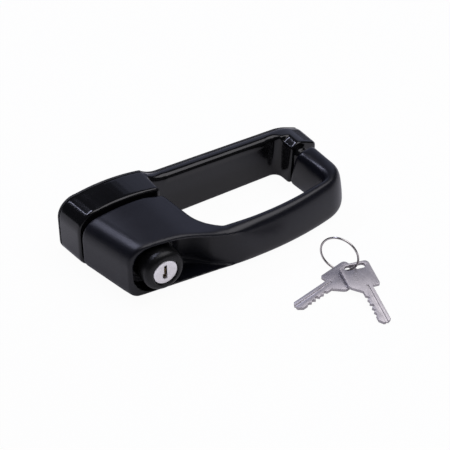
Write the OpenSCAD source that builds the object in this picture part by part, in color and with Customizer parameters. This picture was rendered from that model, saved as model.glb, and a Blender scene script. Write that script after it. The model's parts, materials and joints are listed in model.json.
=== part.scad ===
// Lockable push-button door handle for a compact loader cab.
// Frame: +X runs along the handle from the lock to the far end, +Z is up, and the door is at +Y.
// The origin is midway between the two door bolts, on the face that seats on the door.
// Depths are measured forward from the door face, so a depth d lies at y = -d.

/* [Door mounting] */
// Distance between the two door bolts
bolt_spacing = 110.5; // [104:0.5:120]
// Nominal diameter of the door bolts
bolt_d = 6; // [5:0.5:6]
// Length of the threaded inserts
insert_len = 12; // [8:0.5:14]
// Wall of a threaded insert
insert_wall = 1.2; // [1:0.1:1.4]
// Thickness of the door gasket
gasket_t = 1.6; // [1:0.1:2.4]

/* [Base] */
// Drop of the underside of the wall and ear below the bolt line
base_low = 15; // [14.8:0.1:16]
// Distance from the right bolt to the end of the ear
ear_reach = 13.1; // [12.6:0.1:14]
// Distance from the right bolt to the foot of the inner flank of the ear
ear_inner = 8.2; // [7.8:0.1:9]
// Radius of the lower corner of the ear
ear_corner_r = 8; // [6.5:0.1:9]
// Slope of the top of the ear towards its end
ear_slope = 21; // [16:0.5:24]
// Depth of the low wall behind the fingers
wall_depth = 9; // [8:0.1:10]
// Height of the rear edge of the wall above the bolt line, at the lock end
wall_top = 16.3; // [15.5:0.1:17.5]
// Wall thickness of the moulded base
base_wall = 3; // [2.5:0.1:3.2]
// Depth of the block and of the ear, from the door
base_depth = 22; // [20:0.1:23]
// Distance from the lock axis to the left end of the block
block_left = 31; // [30:0.1:34]
// Distance from the lock axis to the right side of the block
block_right = 27.4; // [26.4:0.1:28]
// Height of the crown of the block above the bolt line
block_top = 23; // [22.5:0.1:25]
// Drop of the underside of the block below the bolt line
block_low = 16.4; // [16:0.1:17]
// Draft angle of the left end of the block
block_draft = 7; // [0:0.5:9]
// Radius of the rounded finger edge along the wall top
finger_r = 3; // [2:0.1:3.2]
// Thickness of the ribs inside the wall
rib_t = 2; // [1.5:0.1:2.5]

/* [Grip] */
// Gap between the base and the grip all round
reveal = 2.6; // [2:0.1:3.4]
// Distance from the lock axis to the left end of the head, at its rear
head_left = 28.3; // [27.5:0.1:29.5]
// Distance from the lock axis to the left end of the head, at its front
head_left_front = 19.4; // [18.6:0.1:20.4]
// Distance from the lock axis to the right side of the head, at its rear
head_right = 28.2; // [27.6:0.1:29]
// Height of the head above the bolt line
head_top = 21.3; // [20.5:0.1:22.5]
// Wall thickness of the head
head_wall = 3.2; // [2.8:0.1:3.4]
// Depth of the front rim at the left end of the head
rim_depth = 64; // [62:0.1:66]
// Thickness of the bar in plan
bar_t = 12; // [11:0.1:13]
// Thickness of the riser in plan
riser_t = 18; // [17:0.1:19]
// Height of the bar above the bolt line
bar_top = 12.8; // [12:0.1:13.6]
// Height of the rear end of the riser above the bolt line
riser_top = 14; // [13.6:0.1:14.6]
// Depth of the front of the bar at the peak of its bow
bar_front = 75; // [74:0.1:77]
// Radius of the bow of the bar front
bow_r = 220; // [200:5:260]
// Radius of the bend between bar and riser, on its centre line
bend_r = 15; // [12:0.5:18]
// Outward lean of the riser towards the bar
riser_lean = 3; // [2:0.1:5]
// Depth of the floor of the thumb pocket
pocket_floor = 56; // [55:0.1:57]
// Thickness of the pocket floor
floor_t = 6; // [5:0.1:7]

/* [Button and lock] */
// Distance from the left door bolt to the lock axis
lock_to_bolt = 19.75; // [19.5:0.05:20.2]
// Height of the lock axis above the bolt line
lock_z = 3.5; // [3:0.1:4]
// Diameter of the push button
button_d = 26; // [25:0.1:26.4]
// Depth of the button face
button_face = 73.6; // [72:0.1:74.6]
// Travel of the button
button_travel = 7; // [5:0.1:7.4]
// Diameter of the lock barrel inside the button
barrel_d = 20; // [19:0.1:20.6]
// Diameter of the plug face
plug_face_d = 16; // [15:0.1:16.2]
// Diameter of the plug behind its face
plug_d = 14; // [13:0.1:14.2]
// Number of wafers in the plug
wafer_count = 5; // [3:1:6]
// Diameter of the push rod
rod_d = 8; // [7:0.1:8.2]
// Wire diameter of the button spring
spring_wire = 1.4; // [1.2:0.1:1.6]
// Mean diameter of the button spring
spring_d = 19.5; // [18.6:0.1:20.4]

/* [Keys] */
// Width of the key head
key_head_w = 18.6; // [17:0.1:20]
// Length of the key head
key_head_l = 20; // [18:0.1:21]
// Length of the key blade
key_blade_l = 28.5; // [27:0.1:30]
// Width of the key blade
key_blade_w = 7; // [6.4:0.1:7.6]
// Thickness of the keys
key_t = 2; // [1.6:0.1:2.2]
// Outside diameter of the key ring
ring_d = 25; // [24:0.1:26]
// Wire diameter of the key ring
ring_wire = 1.3; // [1:0.1:1.4]

/* [Clearances] */
// Radial clearance of sliding and turning fits
slide_gap = 0.06; // [0.03:0.01:0.1]
// Radial clearance of fixed fits
seat_gap = 0.03; // [0.02:0.01:0.06]
// Radial clearance of a bolt or screw in its through hole
bolt_gap = 0.3; // [0.2:0.05:0.4]

/* [Hidden] */
$fn = 64;

// Places of the main axes
left_bolt_x = -bolt_spacing / 2;
ear_x = bolt_spacing / 2;
lock_x = left_bolt_x - lock_to_bolt;
bottom_z = -base_low;
table_z = -block_low;

// Base
crown_r = 115;
crown_x = 3;
block_corner_r = 13;
block_foot_r = 7;
block_edge_r = 1.2;
block_side_r = 3;
step_fillet_r = 18;
wall_pitch = 18;
head_neck_t = 5;
neck_margin = 0.8;
neck_corner_r = 8;
neck_drop = 1.6;
neck_face = base_depth + head_neck_t;
grip_rear = base_depth + reveal;
block_front_wall = base_depth - base_wall;

// Neck between the ear and the riser
ear_neck_half = 4.1;
ear_neck_low = 12;
ear_neck_high = 9;
ear_neck_corner_r = 3.5;

// Top of the wall: a fillet down from the block, a straight run and the sloped top of the ear
crest_rise = 1;
wall_crest = wall_top + crest_rise;
wall_drop = 0.027;
step_x = lock_x + block_right;
step_z = crown(block_right, block_top);
step_drop = step_z - wall_crest;
step_reach = sqrt(pow(step_fillet_r, 2) - pow(step_fillet_r - step_drop, 2));
wall_run_x = step_x + step_reach;
slope_before_bolt = 7.5;
slope_r = 33;
slope_x = ear_x - slope_before_bolt;
slope_z = wall_crest - wall_drop * (slope_x - wall_run_x);
slope_first = atan(wall_drop);
slope_end_x = slope_x + slope_r * (sin(ear_slope) - sin(slope_first));

// End of the ear
ear_end = ear_x + ear_reach;
ear_tip_r = 4;
ear_end_r = 3;
tip_x = ear_end - ear_tip_r * (1 - sin(ear_slope));
tip_z = slope_line(tip_x) - ear_tip_r * cos(ear_slope);

// Inner flank of the ear: a fillet from the wall, a leaning face and a flat facet at its upper edge
flank_fillet_r = 5.5;
flank_x = ear_x - ear_inner;
flank_lean = 3;
flank_draft = 0.3;
flank_edge_r = 1.2;
fillet_x0 = flank_x - flank_fillet_r;
facet_depth = 11.6;
facet_low = 11.7;
facet_w = 5.3;
facet_x = flank_x + flank_draft;

// Finger edge of the wall
roll_proud = 0.5;
roll_start = wall_run_x;
roll_before_flank = 8;
roll_end = flank_x - roll_before_flank;
roll_ease = 2;
under_r = 1.2;
under_drop = 3;
foot_r = 1.2;
crest_land = 0.6;
facet_step = 0.8;
crest_depth = wall_depth - finger_r - crest_land;
crest_r = (pow(crest_depth - gasket_t, 2) + pow(crest_rise, 2)) / (2 * crest_rise);

// Bolt holes, inserts and screws
bolt_hole_r = bolt_d / 2 + bolt_gap;
insert_r = bolt_d / 2 + insert_wall;
bolt_tube_r = bolt_hole_r + 1.2;
insert_boss_r = insert_r + 1.4;
screw_r = 2.5;
screw_head_r = 4.2;
screw_head_t = 3.4;
screw_len = 16;
screw_washer_r = 5;
washer_t = 1;
screw_boss_r = screw_r + 2.3;
screw_from_lock = 18.3;
screw_x = lock_x - screw_from_lock;
screw_dz = 8.5;
ear_screw_from_bolt = 0.5;
ear_screw_x = ear_x + ear_screw_from_bolt;
ear_screw_z = -8.25;
ear_screw_r = 2;
ear_screw_head_r = 3.3;
ear_screw_washer_r = 3.6;
ear_screw_len = 15;
socket_share = 0.55;
blind_extra = 1;

// Button, lock and rod, all on the lock axis
button_r = button_d / 2;
flange_r = button_r + 0.9;
flange_t = 1.6;
guide_len = 10.8;
bush_wall = 1;
bush_r = button_r + slide_gap + bush_wall;
bush_flange_r = bush_r + 0.5;
bush_flange_t = 1.6;
bush_relief_r = bush_flange_r + 0.15;
axial_gap = 0.05;
floor_back = pocket_floor - floor_t;
bush_front = pocket_floor - 0.2;
bush_rear = bush_front - guide_len;
flange_front = bush_rear - axial_gap * 2;
button_rear = flange_front - flange_t;
button_rim_r = 4;
lip_t = 2.2;
plug_recess = 0.6;
plug_face_gap = 0.35;
plug_face_t = 2.4;
barrel_r = barrel_d / 2;
barrel_front = button_face - lip_t;
clip_t = 1;
clip_room = (barrel_d - plug_d) / 2;
barrel_clip_in = clip_room * 0.3;
plug_clip_out = clip_room * 0.4;
clip_groove = 1;
plug_groove = 1.2;
clip_play = 0.1;
barrel_rear = button_rear + 3.2;
plug_face = button_face - plug_recess;
plug_step = plug_face - plug_face_t;
plug_r = plug_d / 2;
plug_tail = 4.5;
plug_rear = barrel_rear - plug_tail;
rod_r = rod_d / 2;
rod_tip = 0.6;
blade_len = 9;
blade_t = 3.6;
tang_len = 5;
tang_t = 3;
pin_r = 1;
pin_in = 1.6;
keyway_w = 2;
keyway_h = 9.6;
keyway_len = 23;
wafer_t = 1;
wafer_w = 5.4;
wafer_pitch = 3;
wafer_first = 6;
rod_bush_wall = 1.8;
rod_bush_r = rod_r + slide_gap + rod_bush_wall;
rod_bush_flange_r = rod_bush_r + 2;
rod_bush_flange_t = 1.4;
seal_wall = 2.2;
seal_t = 3;
seal_lip_gap = 0.12;
seal_r = rod_r + seal_lip_gap + seal_wall;
rod_tube_r = seal_r + 1.6;
seat_t = 1.2;
seat_rim_t = 1;
seat_rim_h = 1.4;
seat_r = spring_d / 2 + spring_wire / 2 + 0.3 + seat_rim_t;
spring_room = button_rear - neck_face - seat_t;
spring_turns = floor(((spring_room - button_travel) / spring_wire - 1) * 2) / 2;
spring_steps = 20;
spring_sides = 8;

// Grip
front_slope = 0.143;
head_slant = 0.145;
head_fillet_r = 16;
fall_start = 8;
fall_end = 50;
head_tl_r = 12;
head_bl_r = 7;
head_right_r = 4;
rim_round = 1.4;
rim_top_grows = [18, 48];
rim_low_grows = [-10, 30];
bow_x = lock_x + 72;
bar_start = lock_x + 32;
bar_corner_r = 5.5;
outer_draft = 4;
riser_round = 1.2;
riser_from_bolt = 0.1;
riser_rise = 5.8;
riser_rise_low = 3.5;
riser_rise_ease = 0.55;
rim_t = 3;
lip_low = 2.2;
pocket_left = 16;
pocket_scoop_start = 14;
pocket_scoop_end = 58;
pocket_corner_r = 12;

// Keys
key_slot_l = 13;
key_slot_w = 4;
key_slot_in = 3.4;
key_corner_r = 2.6;
key_blade_shift = 0.8;
key_shoulder = 3;
key_bevel = 1.5;
key_edge_r = 1;
key_nose = 2.5;
key_nose_low = 0.4;
key_nose_high = 2;
key_bit_start = 8;
key_bit_end = 4;
key_groove_w = 1.4;
key_groove_depth = 0.5;
key_notch_depth = [1.4, 0.6, 1.8, 1.0, 0.8];
upper_key_at = [29.49, -112.40];
upper_key_turn = 255.5;
upper_key_tilt = 6.5;
lower_key_at = [30.69, -114.20];
lower_key_turn = 189.6;
lower_key_tilt = 2.3;
ring_at = [23.47, -107.23];
ring_turn = -59;

// Points on an arc, from angle a to angle b
function arc(at, r, a, b, n) =
    [for (i = [0 : n]) let (t = a + (b - a) * i / n) [at[0] + r * cos(t), at[1] + r * sin(t)]];

function sum_points(v, i = 0) = i == len(v) ? [0, 0, 0] : v[i] + sum_points(v, i + 1);

function middle(ring) = sum_points(ring) / len(ring);

// Closed solid through a row of rings that all have the same number of points
module skin(rings) {
    n = len(rings[0]);
    m = len(rings);
    points = concat([for (ring = rings) each ring], [middle(rings[0]), middle(rings[m - 1])]);
    sides = [
        for (k = [0 : m - 2], i = [0 : n - 1])
            let (a = k * n + i, b = k * n + (i + 1) % n)
                each [[a, a + n, b], [b, a + n, b + n]]
    ];
    first = [for (i = [0 : n - 1]) [m * n, i, (i + 1) % n]];
    last = [for (i = [0 : n - 1]) [m * n + 1, (m - 1) * n + (i + 1) % n, (m - 1) * n + i]];
    polyhedron(points = points, faces = concat(sides, first, last));
}

// Turns a drawing in the X-Z plane into a slab from depth a to depth b
module slab(a, b) {
    translate([0, -a, 0])
        rotate([90, 0, 0])
            linear_extrude(height = b - a)
                children();
}

// Turned shape on an axis through x and z, from depth a to depth b
module rod_at(x, z, r, a, b) {
    translate([x, -a, z])
        rotate([90, 0, 0])
            cylinder(r = r, h = b - a);
}

module tube_at(x, z, outer, inner, a, b) {
    difference() {
        rod_at(x, z, outer, a, b);
        rod_at(x, z, inner, a - 1, b + 1);
    }
}

// Revolved profile on the lock axis, drawn as radius and depth
module on_lock_axis() {
    translate([lock_x, 0, lock_z])
        rotate([90, 0, 0])
            rotate_extrude()
                children();
}

// Height of the crowned top of the block at x from the lock axis
function crown(x, top) = top - pow(x - crown_x, 2) / (2 * crown_r);

// Outline of the block at one depth, set in by a margin
function block_outline(depth, margin) =
    let (
        left = lock_x - block_left + depth * tan(block_draft) + margin,
        right = lock_x + block_right - margin,
        low = margin - block_low,
        corner = block_corner_r - margin,
        foot = block_foot_r - margin,
        side = max(block_side_r - margin, 0.4),
        x_a = right - side,
        x_b = left + corner,
        n = 10
    )
    concat(
        arc([right - side, low + side], side, -90, 0, 4),
        arc([x_a, crown(x_a - lock_x, block_top) - margin - side], side, 0, 86, 4),
        [for (i = [1 : n - 1])
            let (x = x_a + (x_b - x_a) * i / n)
                [x, crown(x - lock_x, block_top) - margin]],
        arc([x_b, crown(x_b - lock_x, block_top) - margin - corner], corner, 90, 180, 10),
        arc([left + foot, low + foot], foot, 180, 270, 8)
    );

function block_ring(depth, margin) = [for (p = block_outline(depth, margin)) [p[0], -depth, p[1]]];

module block_solid() {
    skin([
        block_ring(gasket_t, 0),
        block_ring(base_depth - block_edge_r, 0),
        for (a = [30, 60, 90])
            block_ring(base_depth - block_edge_r * (1 - sin(a)), block_edge_r * (1 - cos(a)))
    ]);
}

// Height of the sloped top of the ear at x
function slope_line(x) =
    x < slope_end_x
        ? slope_z - slope_r * (cos(slope_first) - sqrt(1 - pow(sin(slope_first) + (x - slope_x) / slope_r, 2)))
        : slope_z - slope_r * (cos(slope_first) - cos(ear_slope)) - (x - slope_end_x) * tan(ear_slope);

// Height of the crest of the wall and ear at x
function crest_z(x) =
    x < step_x ? step_z
    : x < wall_run_x
        ? wall_crest + step_fillet_r - sqrt(pow(step_fillet_r, 2) - pow(wall_run_x - x, 2))
    : x < slope_x ? wall_crest - wall_drop * (x - wall_run_x)
    : x < tip_x ? slope_line(x)
    : tip_z + sqrt(max(0, pow(ear_tip_r, 2) - pow(x - ear_end + ear_tip_r, 2)));

// Height of the underside of the wall and ear at x
function foot_z(x) =
    x < ear_end - ear_corner_r
        ? bottom_z
        : bottom_z + ear_corner_r - sqrt(max(0, pow(ear_corner_r, 2) - pow(x - ear_end + ear_corner_r, 2)));

// Depth of the wall and ear at x
function wall_depth_at(x) =
    x < fillet_x0 ? wall_depth
    : x <= flank_x ? wall_depth + flank_fillet_r - sqrt(max(0, pow(flank_fillet_r, 2) - pow(x - fillet_x0, 2)))
    : x < facet_x + flank_edge_r
        ? base_depth - flank_edge_r + sqrt(max(0, pow(flank_edge_r, 2) - pow(facet_x + flank_edge_r - x, 2)))
    : x < ear_end - ear_end_r ? base_depth
    : base_depth - ear_end_r + sqrt(max(0, pow(ear_end_r, 2) - pow(x - ear_end + ear_end_r, 2)));

// Height of the front of the top at x: the crest, or the facet on the flank of the ear
function front_z(x) =
    x < fillet_x0 + flank_fillet_r * sin(67) ? crest_z(x)
    : min(crest_z(x), facet_low + (slope_z - facet_low) * max(0, x - facet_x) / facet_w);

// Rounding of the front of the top at x
function front_r(x) =
    finger_r + (flank_edge_r - finger_r) * min(1, max(0, (x - fillet_x0) / (flank_fillet_r * sin(60))));

// How far the finger edge stands proud of the wall at x
function roll(x) =
    roll_proud * min(1, max(0, min(x - roll_start, roll_end - x) / roll_ease));

// Lean of the ring at x, which follows the lean of the flank
function lean_share(x) = min(1, max(0, min((x - fillet_x0) / flank_fillet_r + 1, (ear_end - x) / ear_reach)));

// One ring of the wall and ear at x, from its rear foot over the crest to its front foot
function wall_ring(x) =
    let (
        crest = crest_z(x),
        low = foot_z(x),
        depth = wall_depth_at(x),
        face = depth + roll(x),
        front = front_z(x),
        r = front_r(x),
        section = concat(
            [[gasket_t, low]],
            [for (i = [0 : 4])
                let (d = gasket_t + (crest_depth - gasket_t) * i / 4)
                    [d, crest - crest_r + sqrt(pow(crest_r, 2) - pow(crest_depth - d, 2))]],
            [
                [min(facet_depth - facet_step / 2, face - r - crest_land * 0.6), crest],
                [min(facet_depth + facet_step / 2, face - r - crest_land * 0.3), front]
            ],
            [for (p = arc([0, 0], r, 90, 0, 5)) [face - r + p[0], front - r + p[1]]],
            [
                [depth + roll(x) * 0.7, front - r - under_r],
                [depth, front - r - under_drop]
            ],
            [for (p = arc([0, 0], foot_r, 0, -90, 3)) [depth - foot_r + p[0], low + foot_r + p[1]]]
        )
    )
    [for (p = section) [x + lean_share(x) * tan(flank_lean) * (p[1] - bottom_z), -p[0], p[1]]];

module wall_solid() {
    skin([
        wall_ring(step_x - 4),
        for (i = [0 : 5])
            wall_ring(step_x + step_reach * i / 6),
        wall_ring(roll_start),
        wall_ring(roll_start + roll_ease),
        wall_ring(roll_end - roll_ease),
        wall_ring(roll_end),
        for (a = [0 : 15 : 90])
            wall_ring(fillet_x0 + flank_fillet_r * sin(a)),
        for (a = [0, 45, 90])
            wall_ring(facet_x + flank_edge_r * (1 - cos(a))),
        wall_ring(facet_x + facet_w * 0.6),
        wall_ring(facet_x + facet_w),
        for (i = [1 : 4])
            wall_ring(facet_x + facet_w + (ear_end - ear_corner_r - facet_x - facet_w) * i / 4),
        for (a = [15 : 15 : 90])
            wall_ring(ear_end - ear_corner_r + ear_corner_r * sin(a))
    ]);
}

// Rear edge of the wall and ear, from inside the block
module wall_rear_outline() {
    steps = 10;
    corner_x = ear_end - ear_corner_r;
    polygon(concat(
        [[lock_x, bottom_z]],
        arc([corner_x, bottom_z + ear_corner_r], ear_corner_r, -90, 0, 8),
        arc([ear_end - ear_tip_r, tip_z - crest_rise], ear_tip_r, 0, 90 - ear_slope, 5),
        [for (i = [1 : steps])
            let (x = tip_x + (slope_x - tip_x) * i / steps)
                [x, crest_z(x) - crest_rise]],
        [for (i = [0 : steps])
            let (x = wall_run_x + (step_x - wall_run_x) * i / steps)
                [x, crest_z(x) - crest_rise]],
        [[lock_x, step_z - crest_rise]]
    ));
}

module rounded_box(x0, z0, x1, z1, r) {
    polygon(concat(
        arc([x1 - r, z0 + r], r, -90, 0, 6),
        arc([x1 - r, z1 - r], r, 0, 90, 6),
        arc([x0 + r, z1 - r], r, 90, 180, 6),
        arc([x0 + r, z0 + r], r, 180, 270, 6)
    ));
}

// Rear openings of the base, as seen from the door
module block_opening() {
    difference() {
        polygon(block_outline(base_depth, base_wall));
        translate([lock_x - block_left, lock_z - rib_t / 2])
            square([block_left + block_right, rib_t]);
        translate([lock_x - rib_t / 2, -block_low])
            square([rib_t, block_top + block_low]);
        translate([lock_x, lock_z])
            circle(r = rod_tube_r);
        translate([left_bolt_x, 0])
            circle(r = bolt_tube_r);
    }
}

module wall_openings() {
    first = step_x + base_wall;
    last = fillet_x0;
    count = floor((last - first) / wall_pitch);
    pitch = (last - first + rib_t) / count;
    for (i = [0 : count - 1])
        translate([first + i * pitch, bottom_z + base_wall])
            square([pitch - rib_t, slope_z - crest_rise - bottom_z - 2 * base_wall]);
}

module ear_opening() {
    difference() {
        rounded_box(
            flank_x + base_low * tan(flank_lean) + base_wall, bottom_z + base_wall,
            ear_end - base_wall, crest_z(ear_end - base_wall) - base_wall, ear_corner_r - base_wall);
        translate([ear_x, -rib_t / 2])
            square([ear_reach, rib_t]);
        translate([ear_x, 0])
            circle(r = bolt_tube_r);
    }
}

// Necks that carry the grip and keep the gap to the base open
module head_neck_outline() {
    m = head_wall + neck_margin;
    rounded_box(
        lock_x - head_left + m, bottom_z + m,
        lock_x + head_right - m, head_top - m - neck_drop, neck_corner_r);
}

module ear_neck_outline() {
    rounded_box(
        ear_x - ear_neck_half, -ear_neck_low,
        ear_x + ear_neck_half, ear_neck_high, ear_neck_corner_r);
}

module base() {
    color("#0b0b0d")
        difference() {
            union() {
                block_solid();
                wall_solid();
                slab(base_depth - 1, neck_face) head_neck_outline();
                slab(base_depth - 1, grip_rear) ear_neck_outline();
            }
            slab(0, block_front_wall) block_opening();
            slab(0, wall_depth - base_wall) wall_openings();
            slab(0, block_front_wall) ear_opening();
            for (x = [left_bolt_x, ear_x])
                rod_at(x, 0, bolt_hole_r, 0, neck_face + 1);
            for (side = [-1, 1])
                rod_at(screw_x, lock_z + side * screw_dz, screw_r + bolt_gap, 0, neck_face + 1);
            rod_at(ear_screw_x, ear_screw_z, ear_screw_r + bolt_gap, 0, grip_rear + 1);
            rod_at(lock_x, lock_z, rod_bush_r + seat_gap, 0, neck_face + 1);
            rod_at(lock_x, lock_z, seal_r + seat_gap, 0, gasket_t + seal_t + seat_gap);
            rod_at(lock_x, lock_z, rod_bush_flange_r + seat_gap,
                neck_face - rod_bush_flange_t - seat_gap, neck_face + 1);
        }
}

module door_gasket() {
    color("#1a1a1a")
        slab(0, gasket_t)
            difference() {
                union() {
                    polygon(block_outline(gasket_t, 0));
                    wall_rear_outline();
                }
                block_opening();
                wall_openings();
                ear_opening();
                for (x = [left_bolt_x, ear_x])
                    translate([x, 0])
                        circle(r = bolt_hole_r);
                translate([lock_x, lock_z])
                    circle(r = seal_r + seat_gap);
            }
}

// Height of the top of the head and bar at x from the lock axis
function grip_height(x) =
    x < fall_start
        ? crown(x, head_top)
        : bar_top + (crown(fall_start, head_top) - bar_top)
            * (1 + cos(180 * min(1, (x - fall_start) / (fall_end - fall_start)))) / 2;

// Depth of the bowed front of the bar at x
function bow_depth(x) = bar_front - pow(x - bow_x, 2) / (2 * bow_r);

function head_left_at(depth) =
    lock_x - head_left
        + (head_left - head_left_front) * (depth - grip_rear) / (rim_depth - grip_rear);

// Right side of the head: a slanted line that a fillet carries into the back of the bar
function head_right_line(depth) = lock_x + head_right + head_slant * (depth - grip_rear);

fillet_depth = bow_depth(lock_x + fall_end) - bar_t;
fillet_centre = fillet_depth - head_fillet_r;
fillet_touch = fillet_centre + head_fillet_r * sin(atan(head_slant));
fillet_x = head_right_line(fillet_touch) + head_fillet_r * cos(atan(head_slant));

function head_right_at(depth) =
    depth < fillet_touch ? head_right_line(depth)
    : depth < fillet_depth
        ? fillet_x - sqrt(pow(head_fillet_r, 2) - pow(depth - fillet_centre, 2))
        : fillet_x;

// Outline of the head between a left and a right side, set in by a margin
function head_outline(left_side, right_side, margin) =
    let (
        left = left_side + margin,
        right = right_side - margin,
        low = bottom_z + margin,
        tl = head_tl_r - margin,
        bl = head_bl_r - margin,
        side = max(head_right_r - margin, 0.4),
        x_a = right - side,
        x_b = left + tl,
        n = 16
    )
    concat(
        arc([x_a, low + side], side, -90, 0, 5),
        arc([x_a, grip_height(x_a - lock_x) - margin - side], side, 0, 80, 5),
        [for (i = [1 : n - 1])
            let (x = x_a + (x_b - x_a) * i / n)
                [x, grip_height(x - lock_x) - margin]],
        arc([x_b, grip_height(x_b - lock_x) - margin - tl], tl, 90, 180, 10),
        arc([left + bl, low + bl], bl, 180, 270, 8)
    );

// One ring of the head: lean is 0 where the ring faces straight back, and 1 at the slanted rim
function head_ring(depth, lean, margin) =
    let (
        left = head_left_at(depth),
        near = head_right_at(depth),
        right = head_right_at(depth + lean * front_slope * (near - left))
    )
    [for (p = head_outline(left, right, margin))
        [p[0], -depth - lean * front_slope * (p[0] - left), p[1]]];

function lean_at(depth) = (depth - grip_rear) / (rim_depth - grip_rear);

// Radius of the front rim at x, which grows to the edge radius of the bar
function rim_r(x, grows) =
    let (t = min(1, max(0, (x - lock_x - grows[0]) / (grows[1] - grows[0]))))
        rim_round + (bar_corner_r - rim_round) * (1 - cos(180 * t)) / 2;

// One ring of the rounded rim: angle 0 is on the side of the head and 90 on its front
function rim_ring(angle) =
    let (
        left = head_left_at(rim_depth),
        right = fillet_x,
        outer = head_outline(left, right, 0),
        inner = head_outline(left, right, bar_corner_r)
    )
    [for (i = [0 : len(outer) - 1])
        let (
            p = outer[i],
            r = rim_r(p[0], p[1] > lock_z ? rim_top_grows : rim_low_grows),
            q = p + (inner[i] - p) * r * (1 - cos(angle)) / bar_corner_r
        )
        [q[0], r * (1 - sin(angle)) - rim_depth - front_slope * (q[0] - left), q[1]]];

module head_solid() {
    steps = 14;
    first = grip_rear + riser_round;
    last = rim_depth - bar_corner_r - rim_round;
    skin([
        head_ring(grip_rear, 0, riser_round),
        head_ring(grip_rear + riser_round * 0.5, 0, riser_round * 0.14),
        for (i = [0 : steps])
            let (depth = first + (last - first) * i / steps)
                head_ring(depth, lean_at(depth), 0),
        for (angle = [0, 25, 50, 70, 90])
            rim_ring(angle)
    ]);
}

// Centre line of the bar and riser in plan
bow_line_r = bow_r - bar_t / 2;
bow_centre = bar_front - bow_r;
riser_x = ear_x - riser_from_bolt;
bow_first = asin((bar_start - bow_x) / bow_line_r);
bend_line_r = bow_line_r - bend_r;
bend_offset = riser_x - bow_x - bend_r * cos(riser_lean)
    + tan(riser_lean) * (bow_centre - bend_r * sin(riser_lean) - grip_rear);
bow_last = riser_lean + asin(bend_offset * cos(riser_lean) / bend_line_r);
bend_x = bow_x + bend_line_r * sin(bow_last);
bend_centre = bow_centre + bend_line_r * cos(bow_last);

// One ring of the bar: place in plan, direction of its outer side, thickness, height, draft and margin
function bar_ring(x, depth, turn, t, top, draft, margin) =
    let (
        half = t / 2 - margin,
        low = bottom_z + margin,
        high = top - margin,
        r = bar_corner_r - margin,
        section = concat(
            arc([half - r, low + r], r, -90, 0, 6),
            arc([half - r, high - r], r, 0, 90, 6),
            arc([r - half, high - r], r, 90, 180, 6),
            arc([r - half, low + r], r, 180, 270, 6)
        )
    )
    [for (p = section)
        let (q = p[0] + tan(draft) * (p[1] - low) * (0.5 - p[0] / t))
            [x - q * sin(turn), -depth + q * cos(turn), p[1]]];

// One ring at the rear of the riser, whose end falls away from the ear towards its top
function riser_ring(step, margin) =
    [for (p = bar_ring(riser_x, grip_rear + step, 90, riser_t, riser_top, outer_draft, margin))
        let (
            up = max(0, (p[2] + riser_rise_low) / (riser_top + riser_rise_low)),
            across = (p[0] - riser_x) / riser_t + 0.5
        )
        p - [0, riser_rise * pow(up, 1.2) * (1 - riser_rise_ease * across), 0]];

module bar_solid() {
    bow_steps = 12;
    bend_steps = 12;
    skin([
        for (i = [0 : bow_steps - 1])
            let (a = bow_first + (bow_last - bow_first) * i / bow_steps)
                bar_ring(
                    bow_x + bow_line_r * sin(a), bow_centre + bow_line_r * cos(a), a,
                    bar_t, bar_top, outer_draft * pow(i / bow_steps, 2), 0),
        for (i = [0 : bend_steps])
            let (a = bow_last + (90 + riser_lean - bow_last) * i / bend_steps)
                bar_ring(
                    bend_x + bend_r * sin(a), bend_centre + bend_r * cos(a), a,
                    bar_t + (riser_t - bar_t) * (1 - cos(180 * i / bend_steps)) / 2,
                    bar_top, outer_draft, 0),
        riser_ring(riser_round, 0),
        riser_ring(riser_round * 0.5, riser_round * 0.14),
        riser_ring(0, riser_round)
    ]);
}

// Thumb pocket: a flat floor that scoops up to the front of the bar
module pocket_plan() {
    first = lock_x + pocket_scoop_start;
    last = lock_x + pocket_scoop_end;
    steps = 16;
    scoop = [
        for (i = [0 : steps])
            let (x = first + (last - first) * i / steps)
                [x, -pocket_floor - (bow_depth(x) - pocket_floor) * (1 - cos(180 * i / steps)) / 2]
    ];
    polygon(concat(
        [[lock_x - pocket_left, -pocket_floor]],
        scoop,
        [[last, -bar_front * 2], [lock_x - pocket_left, -bar_front * 2]]
    ));
}

module pocket_outline() {
    left = lock_x - pocket_left;
    right = lock_x + pocket_scoop_end + 1;
    low = bottom_z + lip_low;
    r = pocket_corner_r;
    x_b = left + r;
    n = 16;
    polygon(concat(
        [[right, low]],
        [for (i = [0 : n])
            let (x = right + (x_b - right) * i / n)
                [x, grip_height(x - lock_x) - rim_t]],
        arc([x_b, grip_height(x_b - lock_x) - rim_t - r], r, 90, 180, 10),
        arc([left + r, low + r], r, 180, 270, 10)
    ));
}

module pocket() {
    intersection() {
        translate([0, 0, -bar_front])
            linear_extrude(height = bar_front * 2)
                pocket_plan();
        slab(pocket_floor - 1, bar_front * 2) pocket_outline();
    }
}

// Hollow of the head with the screw and insert bosses left standing
module head_hollow() {
    difference() {
        skin([
            head_ring(grip_rear - 1, 0, head_wall),
            for (depth = [grip_rear + 8, grip_rear + 17, floor_back])
                head_ring(depth, 0, head_wall)
        ]);
        rod_at(left_bolt_x, 0, insert_boss_r, neck_face, floor_back + 1);
        for (side = [-1, 1])
            rod_at(screw_x, lock_z + side * screw_dz, screw_boss_r, neck_face, floor_back + 1);
    }
}

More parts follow.
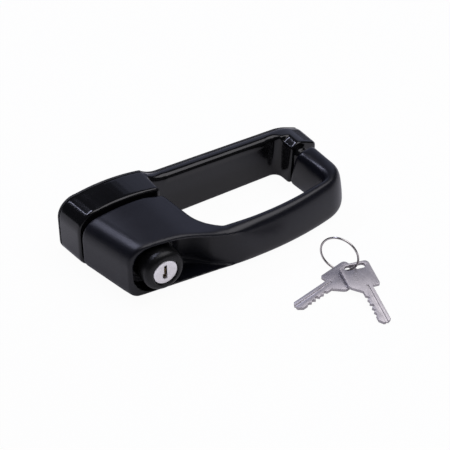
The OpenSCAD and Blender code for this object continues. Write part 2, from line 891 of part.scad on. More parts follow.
module grip() {
    color("#15151b")
        difference() {
            union() {
                head_solid();
                bar_solid();
                slab(grip_rear, grip_rear + riser_rise + 1) ear_neck_outline();
            }
            pocket();
            head_hollow();
            rod_at(lock_x, lock_z, bush_relief_r, grip_rear - 1, floor_back);
            rod_at(lock_x, lock_z, bush_r + seat_gap, floor_back - 1, pocket_floor + 1);
            rod_at(left_bolt_x, 0, bolt_hole_r, grip_rear - 1, neck_face);
            rod_at(left_bolt_x, 0, insert_r + seat_gap, neck_face - 1, neck_face + insert_len + blind_extra);
            rod_at(ear_x, 0, insert_r + seat_gap, grip_rear - 1, grip_rear + insert_len + blind_extra);
            for (side = [-1, 1])
                rod_at(screw_x, lock_z + side * screw_dz, screw_r + seat_gap,
                    neck_face - 1, block_front_wall + screw_len + blind_extra);
            rod_at(ear_screw_x, ear_screw_z, ear_screw_r + seat_gap,
                grip_rear - 1, block_front_wall + ear_screw_len + blind_extra);
        }
}

module guide_bush() {
    color("#2b2b2b")
        on_lock_axis()
            polygon([
                [button_r + slide_gap, bush_rear],
                [bush_r, bush_rear],
                [bush_r, floor_back - bush_flange_t],
                [bush_flange_r, floor_back - bush_flange_t],
                [bush_flange_r, floor_back],
                [bush_r, floor_back],
                [bush_r, bush_front],
                [button_r + slide_gap, bush_front]
            ]);
}

module rod_bush() {
    color("#d8d4c6")
        on_lock_axis()
            polygon([
                [rod_r + slide_gap, block_front_wall],
                [rod_bush_r, block_front_wall],
                [rod_bush_r, neck_face - rod_bush_flange_t],
                [rod_bush_flange_r, neck_face - rod_bush_flange_t],
                [rod_bush_flange_r, neck_face],
                [rod_r + slide_gap, neck_face]
            ]);
}

module rod_seal() {
    color("#1d1d1d")
        on_lock_axis()
            polygon([
                [rod_r + seal_lip_gap, gasket_t + seal_t],
                [seal_r, gasket_t + seal_t],
                [seal_r, gasket_t],
                [rod_r + seal_wall / 2, gasket_t],
                [rod_r + seal_wall / 2, gasket_t + seal_t * 0.6],
                [rod_r + seal_lip_gap, gasket_t + seal_t * 0.6]
            ]);
}

module spring_seat() {
    inner = rod_r + 1;
    color("#b9bcc0")
        on_lock_axis()
            polygon([
                [inner, neck_face],
                [seat_r, neck_face],
                [seat_r, neck_face + seat_t + seat_rim_h],
                [seat_r - seat_rim_t, neck_face + seat_t + seat_rim_h],
                [seat_r - seat_rim_t, neck_face + seat_t],
                [inner, neck_face + seat_t]
            ]);
}

// Knurled brass insert: plain collars with two turned grooves between them
module insert_at(x, depth) {
    groove = 0.5;
    translate([x, -depth, 0])
        rotate([90, 0, 0])
            difference() {
                cylinder(r = insert_r, h = insert_len);
                translate([0, 0, -1])
                    cylinder(r = bolt_d / 2, h = insert_len + 2);
                for (share = [0.28, 0.62])
                    translate([0, 0, insert_len * share])
                        difference() {
                            cylinder(r = insert_r + 1, h = insert_len * 0.12);
                            translate([0, 0, -1])
                                cylinder(r = insert_r - groove, h = insert_len);
                        }
            }
}

module threaded_inserts() {
    color("#b08d3c") {
        insert_at(left_bolt_x, neck_face);
        insert_at(ear_x, grip_rear);
    }
}

// Socket screw driven forward: its head bears at the given depth
module screw_at(x, z, depth, r, head_r, head_t, length) {
    difference() {
        union() {
            rod_at(x, z, head_r, depth - head_t, depth);
            rod_at(x, z, r, depth - 0.5, depth + length);
        }
        translate([x, -(depth - head_t * 0.4), z])
            rotate([-90, 0, 0])
                cylinder(r = head_r * socket_share, h = head_t, $fn = 6);
    }
}

module head_screws() {
    color("#8d9094")
        for (side = [-1, 1])
            screw_at(screw_x, lock_z + side * screw_dz, block_front_wall - washer_t,
                screw_r, screw_head_r, screw_head_t, screw_len);
}

module head_screw_washers() {
    color("#a3a6aa")
        for (side = [-1, 1])
            tube_at(screw_x, lock_z + side * screw_dz, screw_washer_r, screw_r + bolt_gap,
                block_front_wall - washer_t, block_front_wall);
}

module ear_screw() {
    color("#8d9094")
        screw_at(ear_screw_x, ear_screw_z, block_front_wall - washer_t,
            ear_screw_r, ear_screw_head_r, screw_head_t, ear_screw_len);
}

module ear_screw_washer() {
    color("#a3a6aa")
        tube_at(ear_screw_x, ear_screw_z, ear_screw_washer_r, ear_screw_r + bolt_gap,
            block_front_wall - washer_t, block_front_wall);
}

module button_sleeve() {
    bore = barrel_r + seat_gap;
    lip = plug_face_d / 2 + plug_face_gap;
    groove_r = barrel_r + clip_groove;
    color("#101012")
        on_lock_axis()
            polygon(concat(
                [
                    [bore, button_rear],
                    [flange_r, button_rear],
                    [flange_r, flange_front],
                    [button_r, flange_front]
                ],
                arc([button_r - button_rim_r, button_face - button_rim_r], button_rim_r, 0, 90, 10),
                [
                    [lip + 0.4, button_face],
                    [lip, button_face - 0.4],
                    [lip, barrel_front],
                    [bore, barrel_front],
                    [bore, barrel_rear],
                    [groove_r, barrel_rear],
                    [groove_r, barrel_rear - clip_t - 0.1],
                    [bore, barrel_rear - clip_t - 0.1]
                ]
            ));
}

module lock_barrel() {
    channel = plug_r + 1.6;
    color("#9a9da1")
        difference() {
            on_lock_axis()
                polygon([
                    [plug_r + slide_gap, barrel_rear],
                    [barrel_r, barrel_rear],
                    [barrel_r, barrel_front],
                    [plug_face_d / 2 + plug_face_gap, barrel_front],
                    [plug_face_d / 2 + plug_face_gap, plug_step],
                    [plug_r + slide_gap, plug_step]
                ]);
            translate([lock_x - wafer_w / 2 - 0.2, -plug_step + 1.5, lock_z - channel])
                cube([wafer_w + 0.4, plug_step - barrel_rear + 1, channel * 2]);
        }
}

// Open retaining ring around the lock axis
module clip(inner, outer, opening) {
    difference() {
        tube_at(lock_x, lock_z, outer, inner,
            barrel_rear - clip_t - 0.05, barrel_rear - 0.05);
        translate([lock_x - opening / 2, -barrel_rear, lock_z])
            cube([opening, clip_t * 2, outer * 2]);
    }
}

module barrel_clip() {
    color("#6f7276")
        clip(barrel_r - barrel_clip_in, barrel_r + clip_groove - clip_play, 6);
}

module plug_clip() {
    color("#6f7276")
        clip(plug_r - plug_groove + clip_play, plug_r + plug_clip_out, 5);
}

function wafer_depth(i) = plug_face - wafer_first - i * wafer_pitch;

module lock_plug() {
    face_r = plug_face_d / 2;
    color("#c9cbcd")
        difference() {
            on_lock_axis()
                polygon([
                    [0, plug_rear],
                    [plug_r, plug_rear],
                    [plug_r, barrel_rear - clip_t - 0.1],
                    [plug_r - plug_groove, barrel_rear - clip_t - 0.1],
                    [plug_r - plug_groove, barrel_rear],
                    [plug_r, barrel_rear],
                    [plug_r, plug_step + 0.05],
                    [face_r, plug_step + 0.05],
                    [face_r, plug_face - 0.4],
                    [face_r - 0.4, plug_face],
                    [0, plug_face]
                ]);
            translate([lock_x - keyway_w / 2, -plug_face - 1, lock_z - keyway_h / 2])
                cube([keyway_w, keyway_len + 1, keyway_h]);
            translate([lock_x - keyway_w, -plug_face - 1, lock_z - keyway_h * 0.42])
                cube([keyway_w, keyway_len + 1, keyway_h * 0.34]);
            for (i = [0 : wafer_count - 1])
                translate([lock_x - wafer_w / 2 - 0.05, -wafer_depth(i) - wafer_t / 2 - 0.05, lock_z - plug_r])
                    cube([wafer_w + 0.1, wafer_t + 0.1, plug_r * 2]);
            translate([lock_x - rod_r - 0.05, -plug_rear - tang_len - 0.1, lock_z - tang_t / 2 - 0.05])
                cube([rod_d + 0.1, tang_len + 0.2, tang_t + 0.1]);
            translate([lock_x, -plug_rear - pin_in, lock_z - plug_r])
                cylinder(r = pin_r + seat_gap, h = plug_d);
        }
}

module plug_wafers() {
    window_w = keyway_w + 0.8;
    window_h = keyway_h * 0.6;
    color("#c8a54a")
        for (i = [0 : wafer_count - 1])
            difference() {
                intersection() {
                    translate([lock_x - wafer_w / 2, -wafer_depth(i) - wafer_t / 2, lock_z - plug_r])
                        cube([wafer_w, wafer_t, plug_d]);
                    rod_at(lock_x, lock_z, plug_r - 0.1, wafer_depth(i) - wafer_t, wafer_depth(i) + wafer_t);
                }
                translate([lock_x - window_w / 2, -wafer_depth(i) - wafer_t, lock_z - window_h / 2])
                    cube([window_w, wafer_t * 2, window_h]);
            }
}

module push_rod() {
    front = plug_rear - 0.05;
    color("#b4b7bb")
        difference() {
            union() {
                rod_at(lock_x, lock_z, rod_r, rod_tip + blade_len, front);
                intersection() {
                    rod_at(lock_x, lock_z, rod_r, rod_tip, rod_tip + blade_len + 1);
                    translate([lock_x - rod_r, -rod_tip - blade_len - 1, lock_z - blade_t / 2])
                        cube([rod_d, blade_len + 2, blade_t]);
                }
                translate([lock_x - rod_r + 0.2, -plug_rear - tang_len, lock_z - tang_t / 2])
                    cube([rod_d - 0.4, tang_len + 1, tang_t]);
            }
            translate([lock_x, -plug_rear - pin_in, lock_z - plug_r])
                cylinder(r = pin_r + seat_gap, h = plug_d);
        }
}

module rod_pin() {
    color("#7c7f83")
        translate([lock_x, -plug_rear - pin_in, lock_z - plug_r + 0.2])
            cylinder(r = pin_r, h = plug_d - 0.4);
}

module button_spring() {
    wire = spring_wire / 2;
    low = neck_face + seat_t + wire + 0.05;
    high = button_rear - wire - 0.05;
    steps = spring_turns * spring_steps;
    color("#b7babd")
        skin([
            for (i = [0 : steps])
                let (
                    a = 360 * i / spring_steps,
                    depth = low + (high - low) * i / steps
                )
                [for (p = arc([spring_d / 2, 0], wire, 360, 360 / spring_sides, spring_sides - 1))
                    [lock_x + p[0] * cos(a), -depth - p[1], lock_z + p[0] * sin(a)]]
        ]);
}

// Key lying along +X from the back of its head, with its bit edge towards -Y
module key_outline() {
    half = key_head_w / 2;
    spine = key_blade_w / 2 + key_blade_shift;
    bit = key_blade_w - spine;
    tip = key_head_l + key_blade_l;
    polygon(concat(
        arc([key_corner_r, key_corner_r - half], key_corner_r, 180, 270, 5),
        [
            [key_head_l - key_shoulder, -half],
            [key_head_l - key_bevel, key_edge_r - half],
            [key_head_l + key_shoulder, -bit],
            [tip - key_nose, -bit],
            [tip, -key_nose_low],
            [tip, spine - key_nose_high],
            [tip - key_bevel, spine],
            [key_head_l, spine],
            [key_head_l, half - key_edge_r]
        ],
        arc([key_head_l - key_edge_r, half - key_edge_r], key_edge_r, 0, 90, 3),
        arc([key_corner_r, half - key_corner_r], key_corner_r, 90, 180, 5)
    ));
}

module key_shape() {
    bit = key_blade_w / 2 - key_blade_shift;
    pitch = (key_blade_l - key_bit_start - key_bit_end) / len(key_notch_depth);
    difference() {
        linear_extrude(height = key_t)
            difference() {
                key_outline();
                rounded_box(
                    key_slot_in - key_slot_w / 2, -key_slot_l / 2,
                    key_slot_in + key_slot_w / 2, key_slot_l / 2, key_slot_w / 2 - 0.05);
                for (i = [0 : len(key_notch_depth) - 1])
                    translate([key_head_l + key_bit_start + i * pitch, -bit])
                        polygon([
                            [-pitch * 0.45, -0.1], [pitch * 0.45, -0.1],
                            [pitch * 0.15, key_notch_depth[i]], [-pitch * 0.15, key_notch_depth[i]]
                        ]);
            }
        for (z = [key_t - key_groove_depth, key_groove_depth - key_t])
            translate([key_head_l - key_edge_r, key_blade_shift, z])
                cube([key_blade_l + 2 * key_edge_r, key_groove_w, key_t]);
    }
}

// Key laid with its tip on the ground and the back of its head raised
module lay_key(at, turn, tilt) {
    length = key_head_l + key_blade_l;
    translate([at[0], at[1], table_z])
        rotate([0, 0, turn])
            translate([length, 0, 0])
                rotate([0, tilt, 0])
                    translate([-length, 0, 0])
                        children();
}

module upper_key() {
    color("#a7a3ae")
        lay_key(upper_key_at, upper_key_turn, upper_key_tilt)
            key_shape();
}

module lower_key() {
    color("#a7a3ae")
        lay_key(lower_key_at, lower_key_turn, lower_key_tilt)
            mirror([0, 1, 0])
                key_shape();
}

module key_ring() {
    wire = ring_wire / 2;
    line_r = ring_d / 2 - wire;
    color("#c4c6c9")
        translate([ring_at[0], ring_at[1], table_z + ring_d / 2])
            rotate([0, 0, ring_turn])
                rotate([90, 0, 0])
                    rotate_extrude()
                        translate([line_r, 0])
                            circle(r = wire);
}

base();
door_gasket();
grip();
guide_bush();
rod_bush();
rod_seal();
spring_seat();
threaded_inserts();
head_screws();
head_screw_washers();
ear_screw();
ear_screw_washer();
button_sleeve();
lock_barrel();
barrel_clip();
lock_plug();
plug_wafers();
plug_clip();
push_rod();
rod_pin();
button_spring();
key_ring();
upper_key();
lower_key();
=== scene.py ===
"""Looks of a lockable push-button door handle: moulded base and grip, keyed button, two keys on a ring.

In the shared frame, x runs along the handle from the lock to the riser, y into the door and z up.
"""

import json
import math

import bpy
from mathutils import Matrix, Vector


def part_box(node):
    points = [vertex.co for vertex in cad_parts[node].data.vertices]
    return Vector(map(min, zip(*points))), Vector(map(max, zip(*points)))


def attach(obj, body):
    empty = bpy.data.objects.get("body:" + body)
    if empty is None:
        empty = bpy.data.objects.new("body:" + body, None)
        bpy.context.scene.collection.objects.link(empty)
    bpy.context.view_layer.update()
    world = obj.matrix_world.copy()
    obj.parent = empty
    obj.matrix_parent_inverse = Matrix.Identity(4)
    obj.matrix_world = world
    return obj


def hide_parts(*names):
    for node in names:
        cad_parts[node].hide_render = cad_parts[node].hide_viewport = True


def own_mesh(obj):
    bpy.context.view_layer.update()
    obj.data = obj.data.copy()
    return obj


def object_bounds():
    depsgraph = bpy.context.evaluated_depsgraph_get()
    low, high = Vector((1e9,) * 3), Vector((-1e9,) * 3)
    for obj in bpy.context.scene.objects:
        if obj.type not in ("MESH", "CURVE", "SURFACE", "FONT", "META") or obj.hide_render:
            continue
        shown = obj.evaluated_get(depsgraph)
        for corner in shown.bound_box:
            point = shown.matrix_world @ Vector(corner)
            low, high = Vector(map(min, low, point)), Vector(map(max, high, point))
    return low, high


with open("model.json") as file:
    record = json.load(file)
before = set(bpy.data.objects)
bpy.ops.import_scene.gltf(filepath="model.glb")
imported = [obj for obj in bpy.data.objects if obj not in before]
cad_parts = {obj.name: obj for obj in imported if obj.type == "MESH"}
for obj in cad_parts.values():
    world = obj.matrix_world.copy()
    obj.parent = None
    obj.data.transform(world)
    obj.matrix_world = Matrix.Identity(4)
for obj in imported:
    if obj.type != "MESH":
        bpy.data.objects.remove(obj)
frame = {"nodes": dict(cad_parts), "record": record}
cad_low, cad_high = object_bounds()

# Camera of the photograph, in degrees, metres and millimetres
CAMERA_PLACE = (-0.3786, -0.6026, 0.5229)
CAMERA_AZIMUTH = -33
CAMERA_ELEVATION = 38.5
CAMERA_LENS = 112
CAMERA_SENSOR = 36

# Studio, in metres and watts
FLOOR_SIZE = 6.0
FLOOR_WHITE = (0.9, 0.9, 0.9)
FLOOR_GLOW = (1.0, 1.0, 1.0)
FLOOR_GLOW_SHARE = 0.96
FLOOR_SHEEN = (0.7, 0.675, 0.76)
FLOOR_SHEEN_SHARE = 0.35
WORLD_COLOUR = (0.045, 0.047, 0.055)
WORK_CENTRE = (0.0, -0.04, 0.0)
LEFT_COLOUR = (0.74, 0.76, 1.0)
LAMPS = {
    "overhead": {
        "place": (0.3, -0.25, 0.9), "size": (1.0, 1.0), "power": 7.5, "colour": (0.97, 0.95, 1.0)},
    "left_band": {
        "place": (-0.272, 0.543, 0.893), "size": (0.6, 0.11), "power": 3.6, "colour": LEFT_COLOUR},
    "left_strip": {
        "place": (-0.466, 0.677, 0.692), "size": (0.03, 0.25), "power": 0.35, "colour": LEFT_COLOUR},
    "back_panel": {
        "place": (0.95, 0.95, 0.5), "size": (1.1, 0.9), "power": 1.5, "colour": (0.68, 0.72, 1.0)},
}

# Soft copies of the mouldings: size of the voxels in metres, and rounds of smoothing
GRIP_VOXEL = 0.00062
GRIP_PASSES = 8
BASE_VOXEL = 0.00066
BASE_PASSES = 5
SMOOTH_FACTOR = 0.5

# Changes to the grip's copy, in metres: a pair says where a change starts and where it is full
BAR_ALONG = (-0.028, -0.008)
RISER_ALONG = (0.038, 0.044)
RISER_FOOT = (-0.027, -0.042)
LEAN_HEIGHT = (-0.004, 0.0128)
LEAN_DEPTH = 0.0028
LEAN_POWER = 1.5
SCOOP_LEFT = (-0.0615, -0.054)
SCOOP_RIGHT = (-0.036, -0.0545)
SCOOP_FRONT = (-0.0665, -0.063)
SCOOP_DEPTH = 0.0052
SCOOP_SOFTNESS = 0.5
RIM_HEIGHT = (0.008, 0.012)
RIM_FRONT = (-0.056, -0.062)
RIM_SOFTNESS = 0.35
SOFT_PASSES = 110

# Edges of the stamped and turned pieces, in metres and radians
KEY_EDGE = 0.00018
TURNED_EDGE = 0.00012
EDGE_SEGMENTS = 2
EDGE_ANGLE = math.radians(32)
MERGE_GAP = 0.000002

# Parts of the shader nodes: middle of a noise, core and fade of a speck, and colour sockets of a Mix node
NOISE_MIDDLE = 0.5
SPECK_CORE = 0.5
SPECK_FADE = 0.9
MIX_FIRST = 6
MIX_SECOND = 7
MIX_RESULT = 2

# Plastics: colours, roughness, height of the grain in metres, and what each mark adds to colour and roughness
RUBBED_PALENESS = 3
RUBBED_SHARE = 0.12
RUBBED_ROUGHNESS = -0.04
HAIR_SHARE = 0.1
HAIR_ROUGHNESS = 0.05
DUST_COLOUR = (0.2, 0.2, 0.21)
DUST_SHARE = 0.3
DUST_ROUGHNESS = 0.2
CLOUD_ROUGHNESS = 0.08
GRAIN_ROUGHNESS = 0.06
POLISH_ALONG = (-0.056, -0.008)
PLASTICS = {
    "base_plastic": {
        "tint": (0.003, 0.003, 0.0034), "pale": (0.005, 0.005, 0.0058),
        "rough": 0.13, "grain": 0.0000015, "specular": 0.42},
    "grip_plastic": {
        "tint": (0.003, 0.0032, 0.006), "pale": (0.005, 0.0054, 0.010),
        "rough": 0.38, "grain": 0.00001, "specular": 0.42, "polish": 0.08},
    "button_plastic": {
        "tint": (0.003, 0.003, 0.0032), "pale": (0.005, 0.005, 0.0054),
        "rough": 0.36, "grain": 0.000012, "specular": 0.3},
}
BUSHES = {
    "bush_black": {"tint": (0.012, 0.012, 0.012), "pale": (0.024, 0.024, 0.024)},
    "bush_natural": {"tint": (0.68, 0.65, 0.55), "pale": (0.78, 0.76, 0.68)},
}
BUSH_ROUGHNESS = 0.42
BUSH_ROUGHNESS_SWING = 0.12
BUSH_GRAIN = 0.00002
RUBBER_COLOUR = (0.012, 0.012, 0.012)
BLOOM_COLOUR = (0.035, 0.034, 0.033)
RUBBER_ROUGHNESS = 0.62
RUBBER_ROUGHNESS_SWING = 0.2
RUBBER_GRAIN = 0.00006

# Metals: colours, roughness, scratches per metre and their stretch, and what each mark adds
PATCH_SHARE = 0.6
PATCH_ROUGHNESS = 0.06
NICK_SHARE = 0.3
# Painted shade: grooves of the metals are darkened towards this colour by this share
GROOVE_SHADE_COLOUR = (0.05, 0.045, 0.045)
GROOVE_SHADE_SHARE = 0.85
SCRATCH_ROUGHNESS = 0.14
SCRATCH_DEPTH = 0.000005
TURNED_SCRATCHES = (1.0, 9.0, 1.0)
METALS = {
    "zinc_steel": {
        "tint": (0.62, 0.63, 0.64), "dull": (0.4, 0.41, 0.42),
        "rough": 0.3, "scratches": 900, "stretch": TURNED_SCRATCHES},
    "spring_steel": {
        "tint": (0.46, 0.46, 0.48), "dull": (0.26, 0.26, 0.27),
        "rough": 0.32, "scratches": 1100, "stretch": TURNED_SCRATCHES},
    "brass": {
        "tint": (0.7, 0.5, 0.19), "dull": (0.42, 0.3, 0.12),
        "rough": 0.3, "scratches": 900, "stretch": TURNED_SCRATCHES},
    "ring_steel": {
        "tint": (0.56, 0.53, 0.51), "dull": (0.4, 0.37, 0.35),
        "rough": 0.2, "scratches": 1200, "stretch": (1.0, 1.0, 6.0)},
    "key_nickel": {
        "tint": (0.5, 0.475, 0.485), "dull": (0.43, 0.41, 0.42),
        "rough": 0.48, "scratches": 1400, "stretch": (0.3, 1.0, 1.0)},
}
PLUG_CHROME = {"tint": (0.95, 0.93, 0.93), "dull": (0.8, 0.78, 0.78), "rough": 0.26}
PLUG_PATCH_SHARE = 0.5
PLUG_PATCH_ROUGHNESS = 0.08
LATHE_RINGS = {"Scale": 900.0, "Distortion": 0.6, "Detail": 2.0, "Detail Scale": 1.4}
LATHE_ROUGHNESS = 0.08
LATHE_DEPTH = 0.000012


class Value:
    """A shader socket that takes part in Python expressions."""

    def __init__(self, finish, socket):
        self.finish = finish
        self.socket = socket

    def __add__(self, other):
        return self.finish.combine("ADD", self, other)

    __radd__ = __add__

    def __sub__(self, other):
        return self.finish.combine("SUBTRACT", self, other)

    def __rsub__(self, other):
        return self.finish.combine("SUBTRACT", other, self)

    def __mul__(self, other):
        return self.finish.combine("MULTIPLY", self, other)


class Finish:
    """One material, built node by node."""

    def __init__(self, name):
        self.material = bpy.data.materials.new(name)
        self.material.use_nodes = True
        self.tree = self.material.node_tree
        self.tree.nodes.clear()
        self.place = self.node("ShaderNodeTexCoord", "Object")

    def node(self, kind, output, sockets=None, **settings):
        """Adds a node, makes its settings, fills its sockets and returns one of its outputs."""
        made = self.tree.nodes.new(kind)
        for name, setting in settings.items():
            setattr(made, name, setting)
        for key, content in (sockets or {}).items():
            if isinstance(content, Value):
                self.tree.links.new(content.socket, made.inputs[key])
            else:
                made.inputs[key].default_value = content
        return Value(self, made.outputs[output])

    def combine(self, operation, first, second):
        return self.node("ShaderNodeMath", "Value", {0: first, 1: second}, operation=operation)

    def noise(self, scale, detail, roughness=0.5, vector=None):
        sockets = {"Vector": vector or self.place, "Scale": scale, "Detail": detail, "Roughness": roughness}
        return self.node("ShaderNodeTexNoise", "Fac", sockets)

    def mapped(self, location=(0, 0, 0), rotation=(0, 0, 0), scale=(1, 1, 1)):
        sockets = {"Vector": self.place, "Location": location, "Rotation": rotation, "Scale": scale}
        return self.node("ShaderNodeMapping", "Vector", sockets, vector_type="POINT")

    def between(self, value, low, high):
        """0 below low, 1 above high and smooth between them."""
        sockets = {"Value": value, "From Min": low, "From Max": high}
        return self.node("ShaderNodeMapRange", "Result", sockets, interpolation_type="SMOOTHSTEP")

    def mix(self, share, first, second):
        """One colour at a share of 0, the other at 1."""
        sockets = {0: share, MIX_FIRST: self.opaque(first), MIX_SECOND: self.opaque(second)}
        return self.node("ShaderNodeMix", MIX_RESULT, sockets, data_type="RGBA", clamp_factor=True)

    @staticmethod
    def opaque(colour):
        return colour if isinstance(colour, Value) else (*colour, 1.0)

    @staticmethod
    def swing(noise, amount):
        """A noise that goes as far below 0 as above it."""
        return (noise - NOISE_MIDDLE) * amount

    def pointiness(self):
        """High on outer edges and low in grooves."""
        return self.node("ShaderNodeNewGeometry", "Pointiness")

    def bump(self, height, distance):
        return self.node("ShaderNodeBump", "Normal", {"Height": height, "Distance": distance})

    def specks(self, scale, share, size):
        """Small scattered dots: 1 on a dot and 0 elsewhere."""
        sockets = {"Vector": self.place, "Scale": scale}
        near = self.node("ShaderNodeTexVoronoi", "Distance", sockets, feature="F1")
        pick = self.node("ShaderNodeTexVoronoi", "Color", sockets, feature="F1")
        chance = self.node("ShaderNodeSeparateColor", 0, {0: pick})
        kept = self.between(chance, 1 - share, 1 - share * SPECK_FADE)
        return kept * (1 - self.between(near, size * SPECK_CORE, size))

    def surface(self, sockets):
        """Ends the material in one shader with these sockets."""
        self.end(self.node("ShaderNodeBsdfPrincipled", "BSDF", sockets))
        return self.material

    def end(self, shader):
        output = self.tree.nodes.new("ShaderNodeOutputMaterial")
        self.tree.links.new(shader.socket, output.inputs["Surface"])


def moulded(name, tint, pale, rough, grain, specular, polish=0.0):
    """Black plastic with clouds, grain, hairlines, rubbed edges, dust and a bar polished by hands."""
    finish = Finish(name)
    clouds = finish.noise(scale=70, detail=3)
    fine = finish.noise(scale=1900, detail=4, roughness=0.6)
    strokes = finish.noise(scale=260, detail=2, vector=finish.mapped(rotation=(0, 0, 0.5), scale=(1, 14, 14)))
    hairs = finish.between(strokes, low=0.64, high=0.7)
    edges = finish.between(finish.pointiness(), low=0.55, high=0.66)
    rubbed = edges * finish.between(finish.noise(scale=420, detail=4), low=0.42, high=0.7)
    dust = finish.specks(scale=120, share=0.03, size=0.06)
    along = finish.node("ShaderNodeSeparateXYZ", "X", {0: finish.place})
    polished = finish.between(along, *POLISH_ALONG)
    colour = finish.mix(clouds, tint, pale)
    worn = tuple(RUBBED_PALENESS * part for part in pale)
    colour = finish.mix(rubbed * RUBBED_SHARE + hairs * HAIR_SHARE, colour, worn)
    colour = finish.mix(dust * DUST_SHARE, colour, DUST_COLOUR)
    unevenness = finish.swing(clouds, CLOUD_ROUGHNESS) + finish.swing(fine, GRAIN_ROUGHNESS)
    marks = hairs * HAIR_ROUGHNESS + rubbed * RUBBED_ROUGHNESS + dust * DUST_ROUGHNESS - polished * polish
    return finish.surface({
        "Base Color": colour,
        "Roughness": rough + unevenness + marks,
        "Specular IOR Level": specular,
        "Normal": finish.bump(fine, grain),
    })


def rubber(name):
    """Matt black rubber with a pale bloom."""
    finish = Finish(name)
    fine = finish.noise(scale=1500, detail=5)
    bloom = finish.between(finish.noise(scale=110, detail=4), low=0.45, high=0.75)
    return finish.surface({
        "Base Color": finish.mix(bloom, RUBBER_COLOUR, BLOOM_COLOUR),
        "Roughness": RUBBER_ROUGHNESS + finish.swing(fine, RUBBER_ROUGHNESS_SWING),
        "Normal": finish.bump(fine, RUBBER_GRAIN),
    })


def acetal(name, tint, pale):
    """Smooth bearing plastic."""
    finish = Finish(name)
    fine = finish.noise(scale=1300, detail=3)
    return finish.surface({
        "Base Color": finish.mix(finish.noise(scale=160, detail=3), tint, pale),
        "Roughness": BUSH_ROUGHNESS + finish.swing(fine, BUSH_ROUGHNESS_SWING),
        "Normal": finish.bump(fine, BUSH_GRAIN),
    })


def metal(name, tint, dull, rough, scratches, stretch):
    """Bare or plated metal with drawn scratches, dull patches, small nicks and painted shade that darkens its
    grooves.
    """
    finish = Finish(name)
    drawn = finish.noise(scale=scratches, detail=5, roughness=0.65, vector=finish.mapped(scale=stretch))
    patches = finish.between(finish.noise(scale=230, detail=4), low=0.4, high=0.72)
    nicks = finish.specks(scale=700, share=0.12, size=0.14)
    # Painted shade: colour goes dark where pointiness is low, in grooves and hollows
    groove_shade = 1 - finish.between(finish.pointiness(), low=0.42, high=0.48)
    colour = finish.mix(patches * PATCH_SHARE + nicks * NICK_SHARE, tint, dull)
    return finish.surface({
        "Base Color": finish.mix(groove_shade * GROOVE_SHADE_SHARE, colour, GROOVE_SHADE_COLOUR),
        "Metallic": 1.0,
        "Roughness": rough + finish.swing(drawn, SCRATCH_ROUGHNESS) + patches * PATCH_ROUGHNESS,
        "Normal": finish.bump(drawn, SCRATCH_DEPTH),
    })


def turned_face(name, tint, dull, rough, axis):
    """Plated metal with fine lathe rings about the lock axis."""
    finish = Finish(name)
    centred = finish.mapped(location=(-axis.x, 0, -axis.z))
    sockets = {"Vector": centred, **LATHE_RINGS}
    rings = finish.node("ShaderNodeTexWave", "Fac", sockets, wave_type="RINGS", rings_direction="Y")
    patches = finish.between(finish.noise(scale=300, detail=4), low=0.42, high=0.7)
    return finish.surface({
        "Base Color": finish.mix(patches * PLUG_PATCH_SHARE, tint, dull),
        "Metallic": 1.0,
        "Roughness": rough + finish.swing(rings, LATHE_ROUGHNESS) + patches * PLUG_PATCH_ROUGHNESS,
        "Normal": finish.bump(rings, LATHE_DEPTH),
    })


def make_finishes(axis):
    """One finish for each material slot of the record."""
    return {
        **{name: moulded(name, **look) for name, look in PLASTICS.items()},
        **{name: acetal(name, **look) for name, look in BUSHES.items()},
        **{name: metal(name, **look) for name, look in METALS.items()},
        "gasket_rubber": rubber("gasket_rubber"),
        "plug_chrome": turned_face("plug_chrome", axis=axis, **PLUG_CHROME),
    }


def choose(piece):
    """Makes a piece the only selected and the active object."""
    bpy.ops.object.select_all(action="DESELECT")
    piece.select_set(True)
    bpy.context.view_layer.objects.active = piece


def merged_copy(node, name):
    """Copy of a CAD node with its loose triangles joined."""
    piece = bpy.data.objects.new(name, frame["nodes"][node].data.copy())
    bpy.context.scene.collection.objects.link(piece)
    choose(piece)
    bpy.ops.object.mode_set(mode="EDIT")
    bpy.ops.mesh.select_all(action="SELECT")
    bpy.ops.mesh.remove_doubles(threshold=MERGE_GAP)
    bpy.ops.object.mode_set(mode="OBJECT")
    return piece


def apply_modifier(piece, kind, **settings):
    """Adds one modifier, applies it and leaves the piece chosen."""
    modifier = piece.modifiers.new(kind.title(), kind)
    for name, setting in settings.items():
        setattr(modifier, name, setting)
    choose(piece)
    bpy.ops.object.modifier_apply(modifier=modifier.name)


def moulding(node, name, voxel, passes):
    """Copy of a CAD node with the soft edges that a moulding has."""
    piece = merged_copy(node, name)
    apply_modifier(piece, "REMESH", mode="VOXEL", voxel_size=voxel, use_smooth_shade=True)
    apply_modifier(piece, "SMOOTH", factor=SMOOTH_FACTOR, iterations=passes)
    bpy.ops.object.shade_smooth()
    return piece


def step(value, start, end):
    """0 before start, 1 after end and even between them. The end may lie on either side of the start."""
    return min(1.0, max(0.0, (value - start) / (end - start)))


def eased(share):
    """The same share with a soft start and end."""
    return share * share * (3 - 2 * share)


